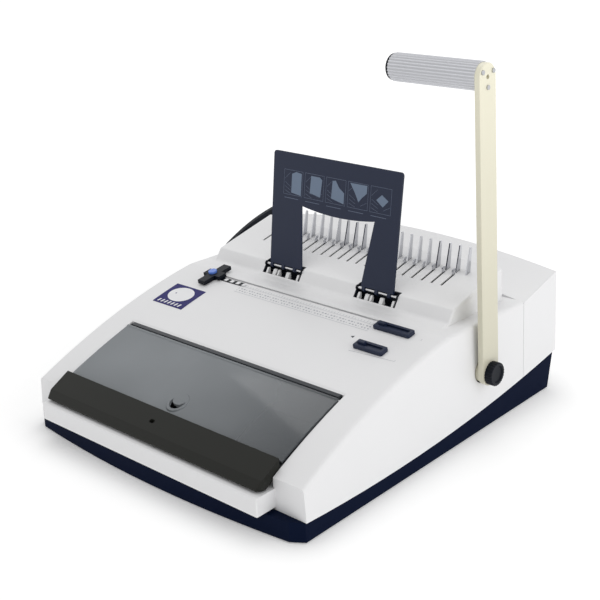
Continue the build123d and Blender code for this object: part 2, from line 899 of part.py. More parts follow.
with BuildPart() as punch_racks:
    rack_line_z = handle_axis[1] + punch_pitch_r
    rack_top_z = rack_line_z + rack_back
    for side in (-1, 1):
        with BuildSketch(Plane.YZ.offset(side * punch_gear_x - rack_width / 2)):
            with BuildLine():
                outline = rack_outline((14, 21), rack_back)
                Polyline(*[(handle_axis[0] + a, rack_line_z - b) for a, b in outline], close=True)
            make_face()
            with Locations((punch_bar_front_y, rack_line_z + 2 * gear_module)):
                Rectangle(
                    handle_axis[0] - rack_link_gap - punch_bar_front_y,
                    rack_back - 2 * gear_module,
                    align=(Align.MIN, Align.MIN),
                )
            with Locations((punch_bar_front_y, rack_line_z + 2 * gear_module)):
                Rectangle(
                    punch_bar_depth,
                    pin_z - punch_bar_height / 2 - rack_line_z - 2 * gear_module,
                    align=(Align.MIN, Align.MIN),
                )
        extrude(amount=rack_width)
punch_racks.part.label = "punch_racks"
export_step(punch_racks.part, "parts/punch_racks.step")
print("racks", len(punch_racks.solids()))


def pinion_pair(centre, teeth, first_angle, gear_x, bore_radius):
    """Two equal gears on one shaft, at gear_x left and right."""
    with BuildPart() as gears:
        for side in (-1, 1):
            with BuildSketch(Plane.YZ.offset(side * gear_x - rack_width / 2)):
                with Locations(centre):
                    with BuildLine(mode=Mode.PRIVATE) as teeth_line:
                        Polyline(*gear_outline(teeth, first_angle), close=True)
                    add(make_face(teeth_line.edges(), mode=Mode.PRIVATE))
                    Circle(bore_radius, mode=Mode.SUBTRACT)
            extrude(amount=rack_width)
    return gears.part


punch_pinions = pinion_pair(
    handle_axis, punch_teeth, 90 + 180 / punch_teeth, punch_gear_x, shaft_radius
)
punch_pinions.label = "punch_pinions"
export_step(punch_pinions, "parts/punch_pinions.step")
print("pinions", punch_pinions.bounding_box())

with BuildPart() as main_shaft:
    with BuildSketch(Plane.YZ.offset(-frame_inner - shaft_overhang)):
        with Locations(handle_axis):
            Circle(shaft_radius)
    extrude(amount=frame_inner + shaft_overhang + arm_inner_x + arm_thick)
    with BuildSketch(Plane.YZ.offset(arm_inner_x + arm_thick)):
        with Locations(handle_axis):
            Circle(knob_stud_radius + fit)
    extrude(amount=-knob_stud_length - 1, mode=Mode.SUBTRACT)
main_shaft.part.label = "main_shaft"
export_step(main_shaft.part, "parts/main_shaft.step")

with BuildPart() as handle_hub:
    with BuildSketch(Plane.YZ.offset(hub_outer_x - hub_thick)):
        with Locations(handle_axis):
            Circle(hub_radius)
            Circle(shaft_radius, mode=Mode.SUBTRACT)
    extrude(amount=hub_thick)
    chamfer(handle_hub.faces().sort_by(Axis.X)[0].edges().sort_by(SortBy.RADIUS)[-1], 1.0)
handle_hub.part.label = "handle_hub"
export_step(handle_hub.part, "parts/handle_hub.step")

arm_top = (
    handle_axis[0] - handle_length * sin(radians(handle_lean)),
    handle_axis[1] + handle_length * cos(radians(handle_lean)),
)
with BuildPart() as handle_arm:
    with BuildSketch(Plane.YZ.offset(arm_inner_x)):
        with Locations(((handle_axis[0] + arm_top[0]) / 2, (handle_axis[1] + arm_top[1]) / 2)):
            SlotCenterToCenter(handle_length, 2 * arm_radius, rotation=90 + handle_lean)
        with Locations(arm_top):
            Circle(arm_end_hole, mode=Mode.SUBTRACT)
            with PolarLocations(arm_screw_circle, 3, start_angle=arm_screw_turn):
                Circle(arm_screw_shank + fit, mode=Mode.SUBTRACT)
    extrude(amount=arm_thick)
    with BuildSketch(Plane.YZ.offset(arm_inner_x)):
        with Locations(handle_axis):
            Circle(arm_boss_radius)
    extrude(amount=-arm_boss_thick)
    with BuildSketch(Plane.YZ.offset(arm_inner_x + arm_thick)):
        with Locations(handle_axis):
            Circle(shaft_radius)
    extrude(amount=-arm_thick - arm_boss_thick, mode=Mode.SUBTRACT)
    outer_rims = handle_arm.faces().sort_by(Axis.X)[-1].outer_wire().edges()
    fillet(outer_rims, radius=0.8)
handle_arm.part.label = "handle_arm"
export_step(handle_arm.part, "parts/handle_arm.step")
print("arm", handle_arm.part.bounding_box())

with BuildPart() as arm_screws:
    with BuildSketch(Plane.YZ.offset(arm_inner_x + arm_thick)):
        with Locations(arm_top):
            with PolarLocations(arm_screw_circle, 3, start_angle=arm_screw_turn):
                Circle(arm_screw_radius)
    extrude(amount=arm_screw_head)
    with BuildSketch(Plane.YZ.offset(arm_inner_x + arm_thick)):
        with Locations(arm_top):
            with PolarLocations(arm_screw_circle, 3, start_angle=arm_screw_turn):
                Circle(arm_screw_shank)
    extrude(amount=-arm_screw_length)
arm_screws.part.label = "arm_screws"
export_step(arm_screws.part, "parts/arm_screws.step")

with BuildPart() as grip_core:
    with BuildSketch(Plane.YZ.offset(grip_end_x + grip_cap_thick)):
        with Locations(arm_top):
            Circle(grip_core_radius)
    extrude(amount=arm_inner_x - grip_end_x - grip_cap_thick)
grip_core.part.label = "grip_core"
export_step(grip_core.part, "parts/grip_core.step")

with BuildPart() as grip_sleeve:
    with BuildSketch(Plane.YZ.offset(grip_end_x + grip_cap_thick)):
        with Locations(arm_top):
            Circle(grip_radius)
            with PolarLocations(grip_radius + grip_flute_depth, grip_flutes):
                Circle(2 * grip_flute_depth, mode=Mode.SUBTRACT)
            Circle(grip_core_radius, mode=Mode.SUBTRACT)
    extrude(amount=arm_inner_x - grip_end_x - grip_cap_thick)
    with BuildSketch(Plane.YZ.offset(arm_inner_x)):
        with Locations(arm_top):
            with PolarLocations(arm_screw_circle, 3, start_angle=arm_screw_turn):
                Circle(arm_screw_shank + fit)
    extrude(amount=-arm_screw_length, mode=Mode.SUBTRACT)
grip_sleeve.part.label = "grip_sleeve"
export_step(grip_sleeve.part, "parts/grip_sleeve.step")

with BuildPart() as grip_end_cap:
    with BuildSketch(Plane.YZ.offset(grip_end_x)):
        with Locations(arm_top):
            Circle(grip_radius - grip_flute_depth)
    extrude(amount=grip_cap_thick)
    fillet(grip_end_cap.faces().sort_by(Axis.X)[0].edges(), radius=2.0)
grip_end_cap.part.label = "grip_end_cap"
export_step(grip_end_cap.part, "parts/grip_end_cap.step")

with BuildPart() as clamp_knob:
    with BuildSketch(Plane.YZ.offset(arm_inner_x + arm_thick + clearance)):
        with Locations(handle_axis):
            Circle(knob_radius)
            with PolarLocations(knob_radius + 0.6, knob_ribs):
                Circle(1.2, mode=Mode.SUBTRACT)
    extrude(amount=knob_thick)
    knob_rim = clamp_knob.faces().sort_by(Axis.X)[-1].outer_wire().edges()
    chamfer(knob_rim, 0.8)
    with BuildSketch(Plane.YZ.offset(side_reach)):
        with Locations(handle_axis):
            Circle(knob_radius - 3.5)
    extrude(amount=-1.5, mode=Mode.SUBTRACT, taper=30)
    with BuildSketch(Plane.YZ.offset(arm_inner_x + arm_thick + clearance)):
        with Locations(handle_axis):
            Circle(knob_stud_radius)
    extrude(amount=-knob_stud_length)
clamp_knob.part.label = "clamp_knob"
export_step(clamp_knob.part, "parts/clamp_knob.step")
print("knob", len(clamp_knob.solids()), clamp_knob.part.bounding_box())

with BuildPart() as return_spring:
    with BuildLine():
        coil = Helix(
            pitch=spring_pitch,
            height=spring_pitch * spring_turns,
            radius=shaft_radius + spring_wire + clearance + spring_wire / 2,
            center=(frame_inner - spring_wire - spring_pitch * spring_turns, *handle_axis),
            direction=(1, 0, 0),
        )
    with BuildSketch(Plane(origin=coil @ 0, z_dir=coil % 0)):
        Circle(spring_wire)
    sweep(path=coil, is_frenet=True)
return_spring.part.label = "return_spring"
export_step(return_spring.part, "parts/return_spring.step")
print("spring", len(return_spring.solids()), return_spring.part.bounding_box())

slope = radians(floor_slope)
axis_run = comb_axis[0] - hump_crest[0]
axis_rise = comb_axis[1] - hump_crest[1]
mesh_at = axis_run * cos(slope) + axis_rise * sin(slope)
mesh_depth = axis_run * sin(slope) - axis_rise * cos(slope) - comb_pitch_r
carriage_low = carriage_depth + carriage_thick

with BuildPart() as finger_rail:
    with BuildSketch(comb_side(-rail_half)):
        with Locations((rail_span[0], -rail_low_depth)):
            Rectangle(rail_span[1] - rail_span[0], rail_low_depth - wall, align=(Align.MIN, Align.MIN))
    extrude(amount=2 * rail_half)
finger_rail.part.label = "finger_rail"
export_step(finger_rail.part, "parts/finger_rail.step")

finger_cos = cos(radians(finger_lean))
finger_sin = sin(radians(finger_lean))


def finger_point(along, across):
    """Point of a finger, along its leaning middle line and across to the rear of it."""
    return (finger_at + along * finger_sin + across * finger_cos, along * finger_cos - across * finger_sin)


with BuildPart() as comb_fingers:
    half_foot = finger_base_width / 2 / finger_cos
    shoulder = finger_length - finger_tip_round
    rear_shoulder = finger_point(shoulder, finger_tip_width / 2)
    rear_slant = (rear_shoulder[0] - finger_at - half_foot) / rear_shoulder[1]
    for i in range(hole_count + 1):
        with BuildSketch(comb_side(hole_x(i) - finger_thick / 2)):
            with BuildLine():
                Polyline(
                    finger_point(shoulder, -finger_tip_width / 2),
                    (finger_at - half_foot, 0),
                    (finger_at - half_foot + finger_foot_trim, -wall),
                    (finger_at + half_foot - wall * rear_slant, -wall),
                    rear_shoulder,
                )
                ThreePointArc(
                    rear_shoulder,
                    finger_point(finger_length, 0),
                    finger_point(shoulder, -finger_tip_width / 2),
                )
            make_face()
        extrude(amount=finger_thick)
comb_fingers.part.label = "comb_fingers"
export_step(comb_fingers.part, "parts/comb_fingers.step")
print("comb_fingers", len(comb_fingers.solids()))

with BuildPart() as hook_carriage:
    with BuildSketch(comb_side(-rail_half)):
        with Locations((carriage_front, -carriage_low)):
            Rectangle(carriage_rear - carriage_front, carriage_thick, align=(Align.MIN, Align.MIN))
    extrude(amount=2 * rail_half)
hook_carriage.part.label = "hook_carriage"
export_step(hook_carriage.part, "parts/hook_carriage.step")

with BuildPart() as comb_hooks:
    for i in range(hole_count):
        with BuildSketch(comb_side(hole_x(i) - hook_thick / 2)):
            with BuildLine():
                Polyline(
                    (hook_span[0], -carriage_depth),
                    (hook_span[1], -carriage_depth),
                    (hook_span[1], hook_rise / 2),
                    (hook_span[1] + hook_tip_reach, hook_rise - 1),
                    (hook_span[1] + hook_tip_reach, hook_rise),
                    (hook_span[0] + 1, hook_rise),
                    (hook_span[0], hook_rise - 1),
                    close=True,
                )
            make_face()
        extrude(amount=hook_thick)
comb_hooks.part.label = "comb_hooks"
export_step(comb_hooks.part, "parts/comb_hooks.step")

with BuildPart() as carriage_racks:
    for side in (-1, 1):
        with BuildSketch(comb_side(side * comb_gear_x - rack_width / 2)):
            with BuildLine():
                outline = rack_outline((4, 28), mesh_depth - carriage_low)
                Polyline(*[(mesh_at + a, -mesh_depth - b) for a, b in outline], close=True)
            make_face()
        extrude(amount=rack_width)
carriage_racks.part.label = "carriage_racks"
export_step(carriage_racks.part, "parts/carriage_racks.step")
print("carriage racks", len(carriage_racks.solids()))

comb_pinions = pinion_pair(
    comb_axis, comb_teeth, 90 + floor_slope + 180 / comb_teeth, comb_gear_x, comb_shaft_radius
)
comb_pinions.label = "comb_pinions"
export_step(comb_pinions, "parts/comb_pinions.step")

with BuildPart() as comb_shaft:
    with BuildSketch(Plane.YZ.offset(-lever_outer_x)):
        with Locations(comb_axis):
            Circle(comb_shaft_radius)
    extrude(amount=lever_outer_x + frame_inner + shaft_overhang)
comb_shaft.part.label = "comb_shaft"
export_step(comb_shaft.part, "parts/comb_shaft.step")

with BuildPart() as comb_lever:
    with BuildSketch(Plane.YZ.offset(-lever_outer_x)):
        with BuildLine(mode=Mode.PRIVATE) as sweep_line:
            ThreePointArc(*lever_curve)
        SlotArc(sweep_line.edges()[0], lever_width)
        with Locations(comb_axis):
            Circle(lever_hub_radius)
            Circle(comb_shaft_radius, mode=Mode.SUBTRACT)
        with Locations(lever_curve[2]):
            Circle(lever_stud_radius, mode=Mode.SUBTRACT)
    extrude(amount=lever_thick)
    fillet(comb_lever.faces().sort_by(Axis.X)[0].outer_wire().edges(), radius=1.0)
comb_lever.part.label = "comb_lever"
export_step(comb_lever.part, "parts/comb_lever.step")

with BuildPart() as lever_spacer:
    with BuildSketch(Plane.YZ.offset(-lever_outer_x + lever_thick)):
        with Locations(comb_axis):
            Circle(lever_spacer_radius)
            Circle(comb_shaft_radius, mode=Mode.SUBTRACT)
    extrude(amount=lever_spacer_length)
lever_spacer.part.label = "lever_spacer"
export_step(lever_spacer.part, "parts/lever_spacer.step")

with BuildPart() as lever_knob:
    with BuildSketch(Plane.YZ.offset(-side_reach)):
        with Locations(lever_curve[2]):
            Circle(lever_knob_radius)
    extrude(amount=side_reach - lever_outer_x)
    fillet(lever_knob.faces().sort_by(Axis.X)[0].edges(), radius=4.0)
    with BuildSketch(Plane.YZ.offset(-lever_outer_x)):
        with Locations(lever_curve[2]):
            Circle(lever_stud_radius)
    extrude(amount=lever_thick)
lever_knob.part.label = "lever_knob"
export_step(lever_knob.part, "parts/lever_knob.step")
print("lever", len(comb_lever.solids()), comb_lever.part.bounding_box())


cover_length = ((cover_front[0] - cover_rear[0]) ** 2 + (cover_front[1] - cover_rear[1]) ** 2) ** 0.5
cover_run = (cover_front[0] - cover_rear[0]) / cover_length
cover_fall = (cover_front[1] - cover_rear[1]) / cover_length


def cover_plane(x):
    """Plane across the cover at x: first axis to its front edge, second out of it."""
    return Plane(
        origin=(x, *cover_rear), x_dir=(0, cover_run, cover_fall), z_dir=(-1, 0, 0)
    )


with BuildPart() as smoked_cover:
    with BuildSketch(cover_plane(cover_half)):
        with BuildLine():
            half = cover_thick / 2
            ThreePointArc((0, half), (cover_length / 2, half + cover_bulge), (cover_length, half))
            Line((cover_length, half), (cover_length, -half))
            ThreePointArc((cover_length, -half), (cover_length / 2, cover_bulge - half), (0, -half))
            Line((0, -half), (0, half))
        make_face()
        Circle(cover_bead_radius)
    extrude(amount=2 * cover_half)
    # Crescent-shaped finger hole in a low round rim near the front edge
    notch_plane = Plane(origin=(0, *cover_rear), x_dir=(1, 0, 0), z_dir=(0, cover_fall, -cover_run))
    with BuildSketch(notch_plane):
        with Locations((notch_at[0], -notch_at[1])):
            Circle(notch_rim_radius)
    extrude(amount=notch_rim_height, taper=notch_rim_taper)
    with BuildSketch(notch_plane.offset(-cover_thick)):
        with Locations((notch_at[0], -notch_at[1])):
            Circle(notch_radius)
        with Locations((notch_at[0], notch_shift - notch_at[1])):
            Circle(notch_radius, mode=Mode.SUBTRACT)
    extrude(amount=2 * cover_thick + cover_bulge, mode=Mode.SUBTRACT)
    pin_bore = cover_pin_length - (pocket_half - cover_half) + cover_pin_end_gap
    for side in (-1, 1):
        with BuildSketch(Plane.YZ.offset(side * cover_half)):
            with Locations(cover_rear):
                Circle(cover_pin_radius + fit)
        extrude(amount=-side * pin_bore, mode=Mode.SUBTRACT)
smoked_cover.part.label = "smoked_cover"
export_step(smoked_cover.part, "parts/smoked_cover.step")
print("cover", len(smoked_cover.solids()), smoked_cover.part.bounding_box())

with BuildPart() as cover_pins:
    for side in (-1, 1):
        with BuildSketch(Plane.YZ.offset(side * pocket_half)):
            with Locations(cover_rear):
                Circle(cover_pin_radius)
        extrude(amount=-side * cover_pin_length)
cover_pins.part.label = "cover_pins"
export_step(cover_pins.part, "parts/cover_pins.step")

with BuildPart() as hinge_strip:
    with BuildSketch(Plane.YZ.offset(-strip_half)):
        with Locations((strip_front_y, strip_low_z)):
            Rectangle(
                pocket_rear_y - strip_front_y, pocket_rear_z - strip_low_z, align=(Align.MIN, Align.MIN)
            )
    extrude(amount=2 * strip_half)
hinge_strip.part.label = "hinge_strip"
export_step(hinge_strip.part, "parts/hinge_strip.step")

with BuildPart() as press_bar:
    with BuildSketch(Plane.YZ.offset(-bar_half)):
        with BuildLine():
            Polyline(
                (bar_rear_y, bar_top_z),
                bar_fold,
                bar_front,
                (bar_under_y, bar_front[1]),
                (bar_rear_y, bar_rear_low_z),
                close=True,
            )
        make_face()
    extrude(amount=2 * bar_half)
    for corner, radius in ((bar_fold, bar_fold_round), (bar_front, bar_lip_round)):
        fold_edges = press_bar.edges().filter_by(
            lambda e: abs(e.center().Y - corner[0]) < 0.1 and abs(e.center().Z - corner[1]) < 0.1
        )
        fillet(fold_edges, radius=radius)
    # The right end is cut back in a curve
    with BuildSketch(Plane.XY.offset(bar_front[1] - 10)):
        with BuildLine():
            Spline(*bar_end_curve)
            rear_end, front_end = bar_end_curve[0], bar_end_curve[-1]
            Polyline(rear_end, (rear_end[0] + 30, rear_end[1]), (rear_end[0] + 30, front_end[1]), front_end)
        make_face()
    extrude(amount=60, mode=Mode.SUBTRACT)
    # Small oval hole in the top
    with BuildSketch(Plane.XY.offset(bar_top_z)):
        with Locations(bar_hole_at):
            SlotOverall(*bar_hole_size)
    bar_run = (bar_top_z - bar_fold[1]) / (bar_rear_y - bar_fold[0])
    hole_top_z = bar_top_z + (bar_hole_at[1] - bar_rear_y) * bar_run
    extrude(amount=-(bar_top_z - hole_top_z + bar_hole_depth), mode=Mode.SUBTRACT)
press_bar.part.label = "press_bar"
export_step(press_bar.part, "parts/press_bar.step")
print("press_bar", len(press_bar.solids()), press_bar.part.bounding_box())

with BuildPart() as press_guides:
    for side in (-1, 1):
        with BuildSketch(Plane.XY.offset(guide_rod_low_z)):
            with Locations((side * guide_rod_x, guide_rod_y)):
                Circle(guide_rod_radius)
        extrude(amount=bar_front[1] - guide_rod_low_z)
press_guides.part.label = "press_guides"
export_step(press_guides.part, "parts/press_guides.step")

with BuildPart() as wire_ledge:
    with BuildSketch(Plane.XY.offset(ledge_low_z)):
        with Locations((0, front_y)):
            Rectangle(2 * ledge_half, cheek_setback, align=(Align.CENTER, Align.MIN))
        with Locations((0, cheek_y)):
            Rectangle(2 * pocket_half, ledge_rear_y - cheek_y, align=(Align.CENTER, Align.MIN))
    extrude(amount=ledge_top_z - ledge_low_z)
    with BuildSketch(Plane.XY.offset(ledge_low_z)):
        with Locations((0, front_y + wall)):
            Rectangle(2 * (ledge_half - wall), cheek_setback - 2 * wall, align=(Align.CENTER, Align.MIN))
        with Locations((0, cheek_y - wall)):
            Rectangle(
                2 * (pocket_half - wall), ledge_rear_y - cheek_y, align=(Align.CENTER, Align.MIN)
            )
    extrude(amount=ledge_top_z - ledge_low_z - wall, mode=Mode.SUBTRACT)
    for side in (-1, 1):
        with BuildSketch(Plane.XY.offset(guide_boss_low_z)):
            with Locations((side * guide_rod_x, guide_rod_y)):
                Circle(guide_boss_radius)
        extrude(amount=ledge_top_z - guide_boss_low_z)
        with BuildSketch(Plane.XY.offset(ledge_low_z)):
            with Locations((side * guide_rod_x, guide_rod_y)):
                Circle(guide_rod_radius + fit)
        extrude(amount=ledge_top_z, mode=Mode.SUBTRACT)
    fillet(
        wire_ledge.edges().filter_by(
            lambda e: abs(e.center().Y - front_y) < 0.1 and e.center().Z > ledge_low_z + 1
        ),
        radius=1.4,
    )
wire_ledge.part.label = "wire_ledge"
export_step(wire_ledge.part, "parts/wire_ledge.step")
print("ledge", len(wire_ledge.solids()), wire_ledge.part.bounding_box())

with BuildPart() as storage_tray:
    tray_rear_y, tray_front_y = tray_top[0][0], tray_top[2][0]
    with BuildSketch(Plane.YZ.offset(-pocket_half + clearance)):
        with BuildLine():
            Polyline(
                *tray_top,
                (tray_front_y, tray_low_z),
                (tray_step[0] - tray_wall, tray_low_z),
                (tray_step[0], tray_step[1]),
                (tray_rear_y, tray_step[1]),
                close=True,
            )
        make_face()
    extrude(amount=2 * (pocket_half - clearance))
    with BuildSketch(Plane.YZ.offset(-pocket_half + clearance + tray_wall)):
        with BuildLine():
            Polyline(
                (tray_rear_y - tray_wall, cover_rear[1] + wall),
                (tray_front_y + tray_wall, cover_rear[1] + wall),
                (tray_front_y + tray_wall, tray_low_z + tray_wall),
                (tray_step[0] - 2 * tray_wall, tray_low_z + tray_wall),
                (tray_step[0] - tray_wall, tray_step[1] + tray_wall),
                (tray_rear_y - tray_wall, tray_step[1] + tray_wall),
                close=True,
            )
        make_face()
    extrude(amount=2 * (pocket_half - clearance - tray_wall), mode=Mode.SUBTRACT)
storage_tray.part.label = "storage_tray"
export_step(storage_tray.part, "parts/storage_tray.step")
print("tray", len(storage_tray.solids()))

with BuildPart() as chip_drawer:
    drawer_low = floor_top_z + clearance
    with BuildSketch(Plane.XY.offset(drawer_low)):
        with Locations((drawer_face_x, 0)):
            Rectangle(drawer_end_x - drawer_face_x, 2 * drawer_half, align=(Align.MIN, Align.CENTER))
    extrude(amount=drawer_height)
    with BuildSketch(Plane.XY.offset(drawer_low + drawer_wall)):
        with Locations((drawer_face_x + drawer_face_thick, 0)):
            Rectangle(
                drawer_end_x - drawer_face_x - drawer_face_thick - drawer_wall,
                2 * (drawer_half - drawer_wall),
                align=(Align.MIN, Align.CENTER),
            )
    extrude(amount=drawer_height, mode=Mode.SUBTRACT)
    with BuildSketch(Plane.YZ.offset(drawer_face_x)):
        with Locations((0, drawer_low + drawer_height / 2)):
            Circle(drawer_pull_radius)
    extrude(amount=drawer_pull_depth, mode=Mode.SUBTRACT)
chip_drawer.part.label = "chip_drawer"
export_step(chip_drawer.part, "parts/chip_drawer.step")


def rest_plane():
    """Plane of the paper rest: first axis across, second up along its lean."""
    lean = radians(rest_lean)
    return Plane(origin=(rest_centre_x, *rest_axis), x_dir=(1, 0, 0), z_dir=(0, -cos(lean), sin(lean)))


with BuildPart() as paper_rest:
    with BuildSketch(rest_plane().offset(-rest_thick / 2)):
        with BuildLine():
            outline = FilletPolyline(
                (-rest_low_half, rest_start),
                (-rest_half, rest_length),
                (rest_half, rest_length),
                (rest_low_half, rest_start),
                radius=rest_corner,
            )
            Line(outline @ 1, (window_low_right, rest_start))
            Line((window_low_right, rest_start), (window_top_right, window_top))
            ThreePointArc(
                (window_top_right, window_top),
                ((window_top_right - window_top_left) / 2, window_top - window_sag),
                (-window_top_left, window_top),
            )
            Line((-window_top_left, window_top), (-window_low_left, rest_start))
            Line((-window_low_left, rest_start), outline @ 0)
        make_face()
    extrude(amount=rest_thick)
    for side in (-1, 1):
        for place in lug_places:
            with BuildSketch(Plane.YZ.offset(rest_centre_x + side * socket_x + place - lug_width / 2)):
                with Locations(rest_axis):
                    Circle(lug_radius)
            extrude(amount=lug_width)
    with BuildSketch(Plane.YZ):
        with Locations(rest_axis):
            Circle(rest_rod_radius + fit)
    extrude(amount=rest_centre_x + rest_half, both=True, mode=Mode.SUBTRACT)
paper_rest.part.label = "paper_rest"
export_step(paper_rest.part, "parts/paper_rest.step")
print("paper_rest", len(paper_rest.solids()), paper_rest.part.bounding_box())

with BuildPart() as paper_rest_rods:
    for side in (-1, 1):
        with BuildSketch(Plane.YZ.offset(rest_centre_x + side * socket_x - socket_half)):
            with Locations(rest_axis):
                Circle(rest_rod_radius)
        extrude(amount=2 * socket_half)
paper_rest_rods.part.label = "paper_rest_rods"
export_step(paper_rest_rods.part, "parts/paper_rest_rods.step")

with BuildPart() as panel_sockets:
    for side in (-1, 1):
        with BuildSketch(Plane.YZ.offset(rest_centre_x + side * socket_x - socket_half)):
            with Locations((socket_front_y, socket_low_z)):
                Rectangle(socket_back_y - socket_front_y, 30, align=(Align.MIN, Align.MIN))
        extrude(amount=2 * socket_half)
    add(hump_envelope(0, 100.0), mode=Mode.INTERSECT)
    for side in (-1, 1):
        for edge in (-1, 1):
            inner = socket_half if edge > 0 else -socket_half
            with BuildSketch(Plane.YZ.offset(rest_centre_x + side * socket_x + inner)):
                with Locations(rest_axis):
                    Circle(lug_radius)
            extrude(amount=-edge * socket_wall)
    for side in (-1, 1):
        with BuildSketch(Plane.YZ.offset(rest_centre_x + side * socket_x - socket_half + socket_wall)):
            with Locations((socket_front_y - wall, socket_low_z + socket_wall)):
                Rectangle(
                    socket_back_y - socket_wall - socket_front_y + wall, 30, align=(Align.MIN, Align.MIN)
                )
        extrude(amount=2 * (socket_half - socket_wall), mode=Mode.SUBTRACT)
    with BuildSketch(Plane.YZ):
        with Locations(rest_axis):
            Circle(rest_rod_radius)
    extrude(amount=rest_centre_x + socket_x + socket_half, both=True, mode=Mode.SUBTRACT)
panel_sockets.part.label = "panel_sockets"
export_step(panel_sockets.part, "parts/panel_sockets.step")
print("sockets", len(panel_sockets.solids()))

with BuildPart() as socket_ribs:
    for side in (-1, 1):
        for place, width in rib_places:
            with BuildSketch(Plane.YZ.offset(rest_centre_x + side * socket_x + place - width / 2)):
                with BuildLine():
                    rib_low_z = socket_low_z + socket_wall
                    Polyline(
                        (socket_front_y, rib_low_z),
                        rib_top,
                        (rib_back_y, rib_top[1]),
                        (rib_back_y, rib_low_z),
                        close=True,
                    )
                make_face()
            extrude(amount=width)
socket_ribs.part.label = "socket_ribs"
export_step(socket_ribs.part, "parts/socket_ribs.step")

guide_x, guide_y = margin_guide_at
with BuildPart() as margin_guide:
    with BuildSketch(table_plane(guide_x, guide_y, guide_lift)):
        Rectangle(guide_arm_width, guide_arm_length)
        Rectangle(guide_cross_length, guide_arm_width)
    extrude(amount=guide_height)
    fillet(margin_guide.faces().sort_by(Axis.Z)[-1].outer_wire().edges(), radius=1.2)
    with BuildSketch(Plane.XY.offset(guide_tab_low_z)):
        with Locations((guide_tab_x, paper_y)):
            Rectangle(guide_tab_thick, paper_gap - 2 * clearance)
    extrude(amount=table_z(paper_y) + guide_lift + 2 - guide_tab_low_z)
    with BuildSketch(table_plane(guide_x, guide_y, guide_lift)):
        with Locations((button_offset, 0)):
            Circle(button_radius + clearance)
    extrude(amount=2 * guide_height, mode=Mode.SUBTRACT)
margin_guide.part.label = "margin_guide"
export_step(margin_guide.part, "parts/margin_guide.step")
print("guide", len(margin_guide.solids()), margin_guide.part.bounding_box())

with BuildPart() as margin_button:
    with BuildSketch(table_plane(guide_x, guide_y, button_lift)):
        with Locations((button_offset, 0)):
            Circle(button_radius)
    extrude(amount=button_height)
    fillet(margin_button.faces().sort_by(Axis.Z)[-1].edges(), radius=1.0)
margin_button.part.label = "margin_button"
export_step(margin_button.part, "parts/margin_button.step")
print("button", margin_button.part.bounding_box())

with BuildPart() as margin_scale:
    with BuildSketch(table_plane(*scale_at)):
        Rectangle(scale_length, scale_width)
    extrude(amount=scale_thick)
margin_scale.part.label = "margin_scale"
export_step(margin_scale.part, "parts/margin_scale.step")

with BuildPart() as corner_label:
    with BuildSketch(Plane.YZ.offset(label_x[0])):
        with BuildLine():
            stations = (label_y[0], sum(label_y) / 2, label_y[1])
            lower = [(y, table_z(y) + fit) for y in stations]
            upper = [(y, z + label_thick) for y, z in lower]
            ThreePointArc(*lower)
            Line(lower[2], upper[2])
            ThreePointArc(*reversed(upper))
            Line(upper[0], lower[0])
        make_face()
    extrude(amount=label_x[1] - label_x[0])
corner_label.part.label = "corner_label"
export_step(corner_label.part, "parts/corner_label.step")


def slide_plate(place, length):
    """Rounded plate on the table with a shallow track for a selector knob."""
    with BuildPart() as plate:
        with BuildSketch(table_plane(*place)):
            RectangleRounded(length, slide_width, 2.0)
        extrude(amount=slide_height)
        chamfer(plate.faces().sort_by(Axis.Z)[-1].outer_wire().edges(), 0.8)
        with BuildSketch(table_plane(*place, slide_height)):
            Rectangle(length - 2 * slide_end, slide_track_width)
        extrude(amount=-slide_track_depth, mode=Mode.SUBTRACT)
    return plate.part


def slide_knob(place, knob_x):
    """Selector knob standing in the track of the plate at place."""
    with BuildPart() as knob:
        with BuildSketch(table_plane(*place, slide_height - slide_track_depth + clearance / 2)):
            with Locations((knob_x - place[0], 0)):
                Rectangle(slide_knob_length, slide_track_width - 2 * clearance)
        extrude(amount=slide_track_depth + slide_knob_height)
        fillet(knob.faces().sort_by(Axis.Z)[-1].edges(), radius=0.8)
    return knob.part


pattern_slide_plate = slide_plate(pattern_slide_at, pattern_slide_length)
pattern_slide_plate.label = "pattern_slide_plate"
export_step(pattern_slide_plate, "parts/pattern_slide_plate.step")

pattern_knob = slide_knob(pattern_slide_at, pattern_knob_x)
pattern_knob.label = "pattern_knob"
export_step(pattern_knob, "parts/pattern_knob.step")

mode_slide_plate = slide_plate(mode_slide_at, mode_slide_length)
mode_slide_plate.label = "mode_slide_plate"
export_step(mode_slide_plate, "parts/mode_slide_plate.step")

mode_knob = slide_knob(mode_slide_at, mode_knob_x)
mode_knob.label = "mode_knob"
export_step(mode_knob, "parts/mode_knob.step")
print("knobs", pattern_knob.bounding_box(), mode_knob.bounding_box())
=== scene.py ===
import bpy
import json
import math
from mathutils import Matrix, Vector


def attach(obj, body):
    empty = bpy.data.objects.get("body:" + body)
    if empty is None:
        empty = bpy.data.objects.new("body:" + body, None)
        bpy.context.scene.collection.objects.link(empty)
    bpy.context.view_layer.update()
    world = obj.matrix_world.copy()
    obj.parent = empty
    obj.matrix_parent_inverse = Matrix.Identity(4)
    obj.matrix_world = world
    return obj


# %% [markdown]
# # Looks for a desktop punch and comb binding machine
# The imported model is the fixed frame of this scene: its pieces keep their places and shapes.
# This script gives every piece a material, adds what is printed on the machine, and sets the
# camera, the light and the floor.

